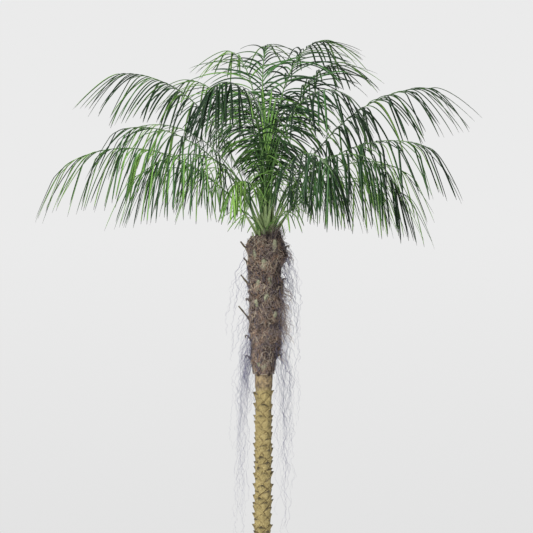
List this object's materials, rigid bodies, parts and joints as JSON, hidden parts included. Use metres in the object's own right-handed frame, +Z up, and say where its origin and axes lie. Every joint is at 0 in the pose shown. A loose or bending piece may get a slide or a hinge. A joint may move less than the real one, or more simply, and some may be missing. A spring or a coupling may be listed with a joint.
{
  "type": "pygmy date palm tree",
  "caption": "Slender single-stemmed date palm with spiral leaf-base scars, a fibrous sleeve under the crown and arching feather fronds with drooping leaflets.",
  "frame": {"origin": "middle of the flat cut under the trunk, at ground level", "axes": "+Z up along the trunk, +Y away from the viewer of the front side, +X to that viewer's right"},
  "size_m": [2.2857, 2.0214, 3.0574],
  "materials": {
    "bark": "rough khaki bark with dark pointed leaf-base scales",
    "fibre": "matted brown leaf-base fibre with grey-green cut stalks",
    "frond": "semi-gloss green leaflets on a smooth yellow-green rib"
  },
  "bodies": {
    "root": {"trunk": "bark", "fibre_sleeve": "fibre", "frond_01_rise": "frond", "frond_01_arch": "frond", "frond_02_rise": "frond", "frond_02_arch": "frond", "frond_03_rise": "frond", "frond_03_arch": "frond", "frond_04_rise": "frond", "frond_04_arch": "frond", "frond_05_rise": "frond", "frond_05_arch": "frond", "frond_06_rise": "frond", "frond_06_arch": "frond", "frond_07_rise": "frond", "frond_07_arch": "frond", "frond_08_rise": "frond", "frond_08_arch": "frond", "frond_09_rise": "frond", "frond_09_arch": "frond", "frond_10_rise": "frond", "frond_10_arch": "frond", "frond_11_rise": "frond", "frond_11_arch": "frond", "frond_12_rise": "frond", "frond_12_arch": "frond", "frond_13_rise": "frond", "frond_13_arch": "frond", "frond_14_rise": "frond", "frond_14_arch": "frond", "frond_15_rise": "frond", "frond_15_arch": "frond", "frond_16_rise": "frond", "frond_16_arch": "frond", "frond_17_rise": "frond", "frond_17_arch": "frond", "frond_18_rise": "frond", "frond_18_arch": "frond", "frond_19_rise": "frond", "frond_19_arch": "frond", "frond_20_rise": "frond", "frond_20_arch": "frond", "frond_21_rise": "frond", "frond_21_arch": "frond", "frond_22_rise": "frond", "frond_22_arch": "frond", "frond_23_rise": "frond", "frond_23_arch": "frond", "frond_24_rise": "frond", "frond_24_arch": "frond", "frond_25_rise": "frond", "frond_25_arch": "frond", "frond_26_rise": "frond", "frond_26_arch": "frond"}
  },
  "joints": []
}
